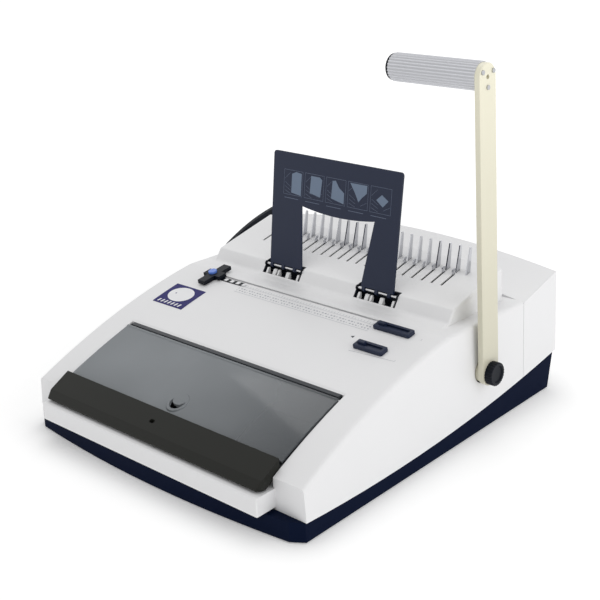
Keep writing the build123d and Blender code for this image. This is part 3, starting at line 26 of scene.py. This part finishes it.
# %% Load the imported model
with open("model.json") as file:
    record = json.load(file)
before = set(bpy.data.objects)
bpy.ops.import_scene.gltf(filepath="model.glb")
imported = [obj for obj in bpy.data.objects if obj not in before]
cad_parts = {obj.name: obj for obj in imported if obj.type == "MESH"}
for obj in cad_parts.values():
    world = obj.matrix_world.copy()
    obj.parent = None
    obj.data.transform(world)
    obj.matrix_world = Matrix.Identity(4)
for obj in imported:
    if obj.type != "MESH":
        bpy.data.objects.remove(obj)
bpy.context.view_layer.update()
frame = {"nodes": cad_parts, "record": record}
nodes = frame["nodes"]
scene = bpy.context.scene
print("pieces in the frame:", len(nodes))

# %% [markdown]
# ## Small helpers
# Colours are written as hex in sRGB and turned into linear values once. Every material starts
# from one principled shader, and each pattern has its scale in real millimetres, because one
# unit of the scene is one metre.

# %% Helpers
MM = 0.001


def linear(hex_colour):
    """Linear colour of an sRGB hex such as #E9E9EB."""
    values = [int(hex_colour[i:i + 2], 16) / 255 for i in (1, 3, 5)]
    return [v / 12.92 if v <= 0.04045 else ((v + 0.055) / 1.055) ** 2.4 for v in values] + [1.0]


def add_node(tree, kind, settings=None, **inputs):
    """Adds a shader node; an input is a plain value or the socket that feeds it."""
    node = tree.nodes.new(kind)
    for key, value in (settings or {}).items():
        setattr(node, key, value)
    for key, value in inputs.items():
        socket = node.inputs[key.replace("_", " ")]
        if isinstance(value, bpy.types.NodeSocket):
            tree.links.new(value, socket)
        else:
            socket.default_value = value
    return node


def noise(tree, place, size_mm, detail=3.0, rough=0.55):
    """Noise whose features are about size_mm across."""
    scale = 1 / (size_mm * MM)
    return add_node(tree, "ShaderNodeTexNoise", Vector=place, Scale=scale, Detail=detail, Roughness=rough)


def spread(tree, value, low, high):
    """Maps a 0 to 1 value to the range low to high."""
    return add_node(tree, "ShaderNodeMapRange", Value=value, To_Min=low, To_Max=high).outputs[0]


def start_material(name):
    """A new material with its node tree, principled shader and object coordinates."""
    made = bpy.data.materials.new(name)
    made.use_nodes = True
    tree = made.node_tree
    shader = tree.nodes["Principled BSDF"]
    place = add_node(tree, "ShaderNodeTexCoord").outputs["Object"]
    return made, tree, shader, place


def surface(name, colour, rough, grain_mm, grain_um, metal=0.0, coat=0.0, wear=0.04, shade=0.03, shine=0.5):
    """A moulded, coated or machined surface: colour, roughness and fine relief all vary a little."""
    made, tree, shader, place = start_material(name)
    broad = noise(tree, place, 60.0, 4.0)
    fine = noise(tree, place, grain_mm, 2.0)
    tone = spread(tree, broad.outputs["Fac"], 1 - shade, 1 + shade)
    tinted = add_node(tree, "ShaderNodeVectorMath", {"operation": "SCALE"}, Scale=tone)
    tinted.inputs[0].default_value = linear(colour)[:3]
    tree.links.new(tinted.outputs[0], shader.inputs["Base Color"])
    smudge = noise(tree, place, 9.0, 5.0, 0.65)
    worn = spread(tree, smudge.outputs["Fac"], rough - wear, rough + wear)
    tree.links.new(worn, shader.inputs["Roughness"])
    depth = grain_um * 1e-6
    relief = add_node(tree, "ShaderNodeBump", Height=fine.outputs["Fac"], Strength=0.5, Distance=depth)
    tree.links.new(relief.outputs[0], shader.inputs["Normal"])
    shader.inputs["Metallic"].default_value = metal
    shader.inputs["Coat Weight"].default_value = coat
    shader.inputs["Specular IOR Level"].default_value = shine
    return made


# %% [markdown]
# ## Moulded plastics and rubber
# The housings are injection-moulded ABS. Their moulds are spark eroded, which leaves a fine even
# grain and a soft sheen. The small black parts are nylon, the feet rubber, the paper rest and the
# sliders satin polycarbonate. A picture could carry the grain, but noise with a size in
# millimetres stays sharp at any distance, so that way was chosen.

# %% Plastics and rubber
looks = {
    "housing_white": surface("spark_eroded_white_abs", "#E6E6E7", 0.42, 0.35, 14, shade=0.012),
    "base_navy": surface("spark_eroded_navy_abs", "#0B142A", 0.6, 0.4, 22, shine=0.03),
    "grip_grey": surface("moulded_grey_vinyl", "#E3E4E9", 0.5, 0.3, 12, shade=0.02),
    "black_plastic": surface("moulded_black_nylon", "#0D121B", 0.42, 0.3, 14, shine=0.15),
    "rubber_black": surface("moulded_black_rubber", "#101010", 0.72, 0.5, 25, shine=0.2),
    "tray_grey": surface("moulded_grey_styrene", "#34373B", 0.5, 0.4, 6, shade=0.015, shine=0.3),
    "navy_plastic": surface("satin_navy_polycarbonate", "#172139", 0.42, 0.25, 8, shade=0.02, shine=0.3),
    "button_blue": surface("polished_blue_acetal", "#5B82DA", 0.22, 0.6, 3, coat=0.3),
}
print("plastics:", len(looks))

# %% [markdown]
# ## Paint, film and metal
# Sprayed enamel is a little wavy and has a thin gloss over it. Printed film is smoother. Ground
# and plated steel mirror the room softly, black oxide hardly, and sintered bronze is dull from
# its pores. Metals keep the default index of refraction.

# %% Paint, film and metal
looks |= {
    "arm_cream": surface("sprayed_cream_enamel", "#E6E2CC", 0.36, 1.8, 9, coat=0.15, shade=0.02),
    "bar_olive": surface("satin_charcoal_paint", "#191A16", 0.4, 0.5, 10, shine=0.2),
    "label_violet": surface("printed_violet_film", "#211D62", 0.4, 0.8, 3, shine=0.15),
    "steel_plate": surface("zinc_plated_sheet_steel", "#B9BABC", 0.34, 2.5, 6, metal=1.0),
    "steel_ground": surface("ground_tool_steel", "#C4C4C6", 0.25, 0.15, 5, metal=1.0),
    "steel_black": surface("black_oxide_steel", "#26272B", 0.35, 0.6, 6, metal=0.6),
    "bronze": surface("sintered_bronze", "#B08A4E", 0.4, 0.2, 12, metal=1.0),
    "finger_silver": surface("nickel_plated_steel", "#C2C3C7", 0.16, 0.6, 3, metal=1.0),
}


# %% [markdown]
# ## Tones matched to the photograph
# The grooves of the grip are painted darker than its ridges, as painted shade in the hollows, and the arm
# is painted darker toward its foot, as painted shade under light from above. Both are matched over the
# colours above.

# %% Painted shade along the grip and the arm
def tone_colour(tree, shader, factor):
    """Multiplies the colour that a shader already has by a factor."""
    toned = add_node(tree, "ShaderNodeVectorMath", {"operation": "SCALE"}, Scale=factor)
    tree.links.new(shader.inputs["Base Color"].links[0].from_socket, toned.inputs[0])
    tree.links.new(toned.outputs[0], shader.inputs["Base Color"])


def paint_groove_shade(made, across_mm, deep_mm, low):
    """Paints shade into the bottom of the grooves along a round bar that is across_mm thick."""
    tree = made.node_tree
    place = add_node(tree, "ShaderNodeTexCoord").outputs["Generated"]
    centred = add_node(tree, "ShaderNodeVectorMath", {"operation": "SUBTRACT"})
    tree.links.new(place, centred.inputs[0])
    centred.inputs[1].default_value = (0.0, 0.5, 0.5)
    flat = add_node(tree, "ShaderNodeVectorMath", {"operation": "MULTIPLY"})
    tree.links.new(centred.outputs[0], flat.inputs[0])
    flat.inputs[1].default_value = (0.0, across_mm, across_mm)
    reach = add_node(tree, "ShaderNodeVectorMath", {"operation": "LENGTH"})
    tree.links.new(flat.outputs[0], reach.inputs[0])
    groove = add_node(
        tree, "ShaderNodeMapRange", Value=reach.outputs["Value"],
        From_Min=across_mm / 2 - deep_mm, From_Max=across_mm / 2, To_Min=low, To_Max=1.0,
    )
    tone_colour(tree, tree.nodes["Principled BSDF"], groove.outputs[0])


def paint_shade_downward(made, low, high):
    """Paints shade into a colour, a little darker from the top of its piece to the bottom, where less light
    falls.
    """
    tree = made.node_tree
    place = add_node(tree, "ShaderNodeTexCoord").outputs["Generated"]
    height = add_node(tree, "ShaderNodeSeparateXYZ", Vector=place).outputs["Z"]
    tone_colour(tree, tree.nodes["Principled BSDF"], spread(tree, height, low, high))


GRIP_ACROSS, GROOVE_DEPTH, GROOVE_TONE = 32.0, 1.0, 0.64
ARM_FOOT_TONE, ARM_TOP_TONE = 0.74, 1.02
# painted shade: darker groove bottoms on the grip and a darker foot on the arm
paint_groove_shade(looks["grip_grey"], GRIP_ACROSS, GROOVE_DEPTH, GROOVE_TONE)
paint_shade_downward(looks["arm_cream"], ARM_FOOT_TONE, ARM_TOP_TONE)
print("groove depth:", GROOVE_DEPTH, "mm")

# %% [markdown]
# ## Smoked acrylic
# The cover is clear sheet, tinted grey and polished. Real refraction through a thin sheet moves little and
# costs much, so the sheet is see-through by its alpha instead. Its grey tone changes along the cover to
# match the photograph, as a painted reflection: lightest left of the middle, darkest at the right end.

# %% Smoked acrylic
def smoked_acrylic():
    """Clear smoked sheet: light passes it, and its faces are polished with faint wipe marks."""
    made, tree, shader, place = start_material("polished_smoked_acrylic")
    wipe = noise(tree, place, 30.0, 4.0, 0.6)
    tree.links.new(spread(tree, wipe.outputs["Fac"], 0.05, 0.12), shader.inputs["Roughness"])
    spot = add_node(tree, "ShaderNodeTexCoord").outputs["Generated"]
    across = add_node(tree, "ShaderNodeSeparateXYZ", Vector=spot)
    # painted reflection: the grey tint is lighter left of the middle and darker at the right end
    smoke_tint_and_reflection = add_node(tree, "ShaderNodeValToRGB", Fac=across.outputs["X"])
    smoke_tint_and_reflection.color_ramp.elements[0].color = linear("#8B9094")
    smoke_tint_and_reflection.color_ramp.elements[1].color = linear("#55595D")
    smoke_tint_and_reflection.color_ramp.elements.new(0.4).color = linear("#93989C")
    tree.links.new(smoke_tint_and_reflection.outputs["Color"], shader.inputs["Base Color"])
    deep = noise(tree, place, 95.0, 1.5, 0.4)
    tree.links.new(spread(tree, deep.outputs["Fac"], 0.5, 0.85), shader.inputs["Alpha"])
    shader.inputs["IOR"].default_value = 1.49
    return made


looks["smoke_clear"] = smoked_acrylic()

# %% [markdown]
# ## Materials onto the pieces
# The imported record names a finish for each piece, so no list of pieces is written here.

# %% Give every piece its material
slot_of = {part["node"]: part["material_slot"] for part in frame["record"]["subparts"]}
for name, piece in nodes.items():
    piece.data.materials.clear()
    piece.data.materials.append(looks[slot_of[name]])
print("materials:", len(looks))

# %% [markdown]
# ## Marks on the table and the paper rest
# Everything printed is thin film of its own, lying on the surface that carries it. The marks
# say nothing: they are ticks, frames, plain squares and arrows.

# %% Surfaces that carry the marks
TABLE = [(-210.0, 56.0), (-110.0, 99.0), (20.0, 131.0)]
REST_AXIS, REST_LEAN, REST_THICK = (54.5, 143.6), math.radians(7.7), 2.6
FILM = 0.06


def circle_through(points):
    """Centre and radius of the circle through three points."""
    (ay, az), (by, bz), (cy, cz) = points
    d = 2 * (ay * (bz - cz) + by * (cz - az) + cy * (az - bz))
    a2, b2, c2 = ay * ay + az * az, by * by + bz * bz, cy * cy + cz * cz
    oy = (a2 * (bz - cz) + b2 * (cz - az) + c2 * (az - bz)) / d
    oz = (a2 * (cy - by) + b2 * (ay - cy) + c2 * (by - ay)) / d
    return oy, oz, math.hypot(ay - oy, az - oz)


TABLE_ARC = circle_through(TABLE)


def on_table(x, y, lift=FILM):
    """Point just above the curved table, in metres."""
    oy, oz, r = TABLE_ARC
    z = oz + math.sqrt(r * r - (y - oy) ** 2) if y < TABLE[2][0] else TABLE[2][1]
    return (x * MM, y * MM, (z + lift) * MM)


def on_rest(u, v, lift=FILM):
    """Point just in front of the paper rest: u across, v up from its hinge."""
    c, s = math.cos(REST_LEAN), math.sin(REST_LEAN)
    out = REST_THICK / 2 + lift
    return (u * MM, (REST_AXIS[0] + v * s - out * c) * MM, (REST_AXIS[1] + v * c + out * s) * MM)


def marks(name, shapes, place, colour, body):
    """One mesh of flat printed shapes, each a list of corners laid on a surface by place."""
    vertices, faces = [], []
    for corners in shapes:
        faces.append(tuple(range(len(vertices), len(vertices) + len(corners))))
        vertices += [place(*corner) for corner in corners]
    mesh = bpy.data.meshes.new(name)
    mesh.from_pydata(vertices, [], faces)
    mesh.materials.append(colour)
    made = bpy.data.objects.new(name, mesh)
    scene.collection.objects.link(made)
    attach(made, body)
    return made


def bar(x0, y0, x1, y1):
    """A rectangle's corners."""
    return [(x0, y0), (x1, y0), (x1, y1), (x0, y1)]


def outline(x0, y0, x1, y1, line):
    """Four thin bars that frame a rectangle."""
    return [
        bar(x0, y0, x1, y0 + line),
        bar(x0, y1 - line, x1, y1),
        bar(x0, y0 + line, x0 + line, y1 - line),
        bar(x1 - line, y0 + line, x1, y1 - line),
    ]


# %% [markdown]
# ## Inks
# Screen-printed ink is a thin matt film. Its grain is too fine to show and only dulls the sheen.

# %% Inks
ink_grey = surface("printed_grey_ink", "#ADAFB5", 0.5, 0.6, 2)
ink_dark = surface("printed_dark_ink", "#3A3D45", 0.5, 0.6, 2)
ink_pale = surface("printed_pale_ink", "#5B667C", 0.5, 0.6, 2)
ink_sheet = surface("printed_sheet_ink", "#66768C", 0.5, 0.6, 2)
ink_white = surface("printed_white_ink", "#E8E8EA", 0.45, 0.6, 2)


def stroke(x0, y0, x1, y1, line):
    """A thin slanted bar from one point to another."""
    run, rise = x1 - x0, y1 - y0
    length = math.hypot(run, rise)
    dx, dy = -rise / length * line / 2, run / length * line / 2
    return [(x0 - dx, y0 - dy), (x1 - dx, y1 - dy), (x1 + dx, y1 + dy), (x0 + dx, y0 + dy)]


# %% [markdown]
# ## Scale in front of the paper slot
# Fine ticks and short dashes run along the edge where paper goes in. Each is a flat face of its
# own, because a drawn face stays sharp when the view comes close.

# %% Ticks and scale windows
TICK_STEP, TICK_START, TICK_COUNT = 4.4, -94.0, 48
TICK_END = TICK_START + TICK_STEP * TICK_COUNT
ticks = []
for k in range(TICK_COUNT):
    left = TICK_START + TICK_STEP * k
    ticks.append(bar(left, 5.0, left + 0.5, 9.5 if k % 5 == 0 else 7.5))
    ticks.append(bar(left, -1.5, left + (2.6 if k % 3 else 1.2), 0.3))
    ticks.append(bar(left + 0.8, -6.0, left + (3.0 if k % 4 else 1.6), -4.2))
ticks += [bar(TICK_START, 4.0, TICK_END, 4.4), bar(TICK_START, -9.0, TICK_END, -8.5)]
marks("paper_ticks", ticks, on_table, ink_grey, "frame")

WINDOW_START, WINDOW_STEP, WINDOW_WIDE, SCALE_LIFT = -126.6, 10.4, 5.4, 0.75
window_lefts = [WINDOW_START + WINDOW_STEP * k for k in range(4)]
squares = [bar(left, 4.4, left + WINDOW_WIDE, 9.6) for left in window_lefts]
marks("scale_windows", squares, lambda x, y: on_table(x, y, SCALE_LIFT), ink_white, "frame")
print("ticks and dashes:", len(ticks), "scale windows:", len(squares))

# %% [markdown]
# ## Corner label and slide marks
# The label is printed film with a white disc and a row of slanted strokes. A small arrow stands
# by the lower slider, and a thin line borders the two.

# %% Corner label and slide marks
LABEL_LIFT, DISC_SIDES = 0.65, 48
DISC_X, DISC_Y, DISC_WIDE, DISC_DEEP = -151.3, -43.0, 19.0, 14.0
PENNANT_START, PENNANT_STEP, PENNANT_WIDE, PENNANT_SLANT = -172.0, 6.0, 2.6, 1.8
turns = [2 * math.pi * k / DISC_SIDES for k in range(DISC_SIDES)]
disc = [(DISC_X + DISC_WIDE * math.cos(t), DISC_Y + DISC_DEEP * math.sin(t)) for t in turns]
pennants = []
for k in range(7):
    left = PENNANT_START + PENNANT_STEP * k
    right_end = left + PENNANT_WIDE
    foot = [(left, -64.0), (right_end, -64.0)]
    head = [(right_end + PENNANT_SLANT, -59.0), (left + PENNANT_SLANT, -59.0)]
    pennants.append(foot + head)
label_shapes = [disc] + pennants
marks("label_disc", label_shapes, lambda x, y: on_table(x, y, LABEL_LIFT), ink_white, "frame")

arrow = [(106.5, -24.6), (111.0, -26.8), (111.0, -22.4)]
edge_line = [stroke(183.0, 4.0, 181.5, -42.0, 0.5), stroke(181.5, -42.0, 122.0, -46.5, 0.5)]
marks("slide_arrow", [arrow], on_table, ink_dark, "frame")
marks("slide_border", edge_line, on_table, ink_grey, "frame")

# %% [markdown]
# ## Drawings on the paper rest
# Five frames in a row hold a plain filled shape each, with thin strokes beside it. They lie a
# hair in front of the sheet, and ride with it when it folds.

# %% Drawings on the paper rest
PANEL_LEFT, PANEL_STEP, PANEL_WIDE = -77.0, 34.4, 31.0
PANEL_LOW, PANEL_HIGH = 91.5, 122.0
sheets = [
    [(13, 3), (29, 1), (29, 28), (20, 29), (13, 26)],
    [(9, 7), (26, 4), (28, 25), (24, 28), (10, 28)],
    [(9, 6), (29, 2), (29, 15), (21, 20), (15, 28), (10, 27)],
    [(3, 29), (29, 29), (29, 20), (22, 14), (17, 8), (11, 18)],
    [(9, 15), (19, 8), (27, 16), (17, 22)],
]
frames, fills = [], []
for k, sheet in enumerate(sheets):
    left = PANEL_LEFT + PANEL_STEP * k
    frames += outline(left, PANEL_LOW, left + PANEL_WIDE, PANEL_HIGH, 0.35)
    fills.append([(left + x, PANEL_LOW + y) for x, y in sheet])
    for n in range(3):
        slant = (left + 2, PANEL_LOW + 5 + 5 * n, left + 12, PANEL_LOW + 1.5 + 4 * n)
        frames.append(stroke(*slant, 0.35))
    frames.append(stroke(left + 1.5, PANEL_LOW + 19, left + 10, PANEL_LOW + 27, 0.3))
    frames.append(stroke(left + 20, PANEL_LOW + 4, left + 29.5, PANEL_LOW + 9, 0.3))
    frames.append(bar(left + 2, PANEL_LOW - 4.4, left + PANEL_WIDE - 6, PANEL_LOW - 3.8))
marks("rest_frames", frames, on_rest, ink_pale, "paper_rest")
marks("rest_sheets", fills, lambda u, v: on_rest(u, v, 2 * FILM), ink_sheet, "paper_rest")
print("printed marks:", len(ticks) + len(squares) + len(frames) + len(fills) + len(pennants) + 4)

# %% [markdown]
# ## Camera
# The camera was solved on the machine's edges: its place, its direction and a lens shift that
# frames the machine as in the photograph.

# %% Camera
AZIMUTH, ELEVATION, ROLL = math.radians(39.52), math.radians(14.89), math.radians(-1.11)
AIM = Vector((0.0, 0.011, 0.080))
OFFSET = Vector((-0.10113, -0.18450, 1.34041))
FOCAL_PIXELS, IMAGE_PIXELS = 1136.88, 600
AXIS_PIXEL = (389.22, 183.08)

forward = Vector((
    -math.sin(AZIMUTH) * math.cos(ELEVATION), math.cos(AZIMUTH) * math.cos(ELEVATION), -math.sin(ELEVATION)
))
right = forward.cross(Vector((0, 0, 1))).normalized()
up = right.cross(forward)
row_x = right * math.cos(ROLL) + up * math.sin(ROLL)
row_y = up * math.cos(ROLL) - right * math.sin(ROLL)
turn = Matrix((row_x, row_y, -forward)).transposed()
stand = AIM - row_x * OFFSET.x - row_y * OFFSET.y - forward * OFFSET.z

camera_data = bpy.data.cameras.new("photo_camera")
camera_data.sensor_width = 36.0
camera_data.lens = FOCAL_PIXELS / IMAGE_PIXELS * 36.0
camera_data.shift_x = (IMAGE_PIXELS / 2 - AXIS_PIXEL[0]) / IMAGE_PIXELS
camera_data.shift_y = (AXIS_PIXEL[1] - IMAGE_PIXELS / 2) / IMAGE_PIXELS
camera_data.clip_start = 0.05
camera = bpy.data.objects.new("photo_camera", camera_data)
camera.matrix_world = Matrix.Translation(stand) @ turn.to_4x4()
scene.collection.objects.link(camera)
scene.camera = camera
print("camera lens", round(camera_data.lens, 2), "mm, stands at", [round(v, 3) for v in stand])

# %% [markdown]
# ## Floor
# A plain sheet of matt white paper. Far from the machine it glows a little more, so that it runs
# out to white, and near the machine it keeps the soft shadow.

# %% Floor
floor_mesh = bpy.data.meshes.new("floor")
FLOOR, FLOOR_GLOW, FAR_GLOW = 12.0, 0.2, 0.45
NEAR_FLOOR, FAR_FLOOR = 0.6, 2.5
floor_corners = [(-FLOOR, -FLOOR, 0), (FLOOR, -FLOOR, 0), (FLOOR, FLOOR, 0), (-FLOOR, FLOOR, 0)]
floor_mesh.from_pydata(floor_corners, [], [(0, 1, 2, 3)])
floor = bpy.data.objects.new("floor", floor_mesh)
scene.collection.objects.link(floor)
sweep = surface("matt_white_paper_sweep", "#FAFAFA", 0.9, 1.2, 6, shade=0.003, shine=0.1)
sweep_shader = sweep.node_tree.nodes["Principled BSDF"]
sweep_shader.inputs["Emission Color"].default_value = (1, 1, 1, 1)
sweep_place = add_node(sweep.node_tree, "ShaderNodeTexCoord").outputs["Object"]
distance = add_node(sweep.node_tree, "ShaderNodeVectorMath", {"operation": "LENGTH"})
sweep.node_tree.links.new(sweep_place, distance.inputs[0])
glow = add_node(
    sweep.node_tree, "ShaderNodeMapRange", Value=distance.outputs["Value"],
    From_Min=NEAR_FLOOR, From_Max=FAR_FLOOR, To_Min=FLOOR_GLOW, To_Max=FAR_GLOW,
)
sweep.node_tree.links.new(glow.outputs[0], sweep_shader.inputs["Emission Strength"])
floor_mesh.materials.append(sweep)
print("floor glow:", FLOOR_GLOW, "near,", FAR_GLOW, "far")

# %% [markdown]
# ## White surround
# The camera, mirrors and clear sheet see plain white. Other rays see it dimmer, so that the pale
# housing keeps its shading and doesn't clip.

# %% White surround
SURROUND_DIM, SURROUND_WHITE = 0.66, 1.0
world = bpy.data.worlds.new("white_surround")
world.use_nodes = True
scene.world = world
sky = world.node_tree
path = add_node(sky, "ShaderNodeLightPath")
seen = add_node(sky, "ShaderNodeMath", {"operation": "MAXIMUM"})
sky.links.new(path.outputs["Is Camera Ray"], seen.inputs[0])
sky.links.new(path.outputs["Is Glossy Ray"], seen.inputs[1])
seen_through = add_node(sky, "ShaderNodeMath", {"operation": "MAXIMUM"})
sky.links.new(seen.outputs[0], seen_through.inputs[0])
sky.links.new(path.outputs["Is Transmission Ray"], seen_through.inputs[1])
level = spread(sky, seen_through.outputs[0], SURROUND_DIM, SURROUND_WHITE)
background = sky.nodes["Background"]
background.inputs["Color"].default_value = (1, 1, 1, 1)
sky.links.new(level, background.inputs["Strength"])
print("surround strength:", SURROUND_DIM, "to", SURROUND_WHITE)

# %% [markdown]
# ## Soft boxes
# One large box at the right lights the arm and the side, and one above lights the table.

# %% Soft boxes
def softbox(name, where, aim, width, watts):
    """A large square area light that faces aim."""
    data = bpy.data.lights.new(name, "AREA")
    data.size = width
    data.energy = watts
    lamp = bpy.data.objects.new(name, data)
    lamp.location = where
    lamp.rotation_euler = (Vector(aim) - Vector(where)).to_track_quat("-Z", "Y").to_euler()
    scene.collection.objects.link(lamp)
    return lamp


softbox("key_softbox", (3.0, 0.2, 1.5), (0, 0, 0.1), 2.0, 24)
softbox("top_softbox", (-0.9, 0.8, 3.0), (0, 0, 0.1), 2.2, 20)
scene.view_settings.view_transform = "Standard"
print("view transform:", scene.view_settings.view_transform)
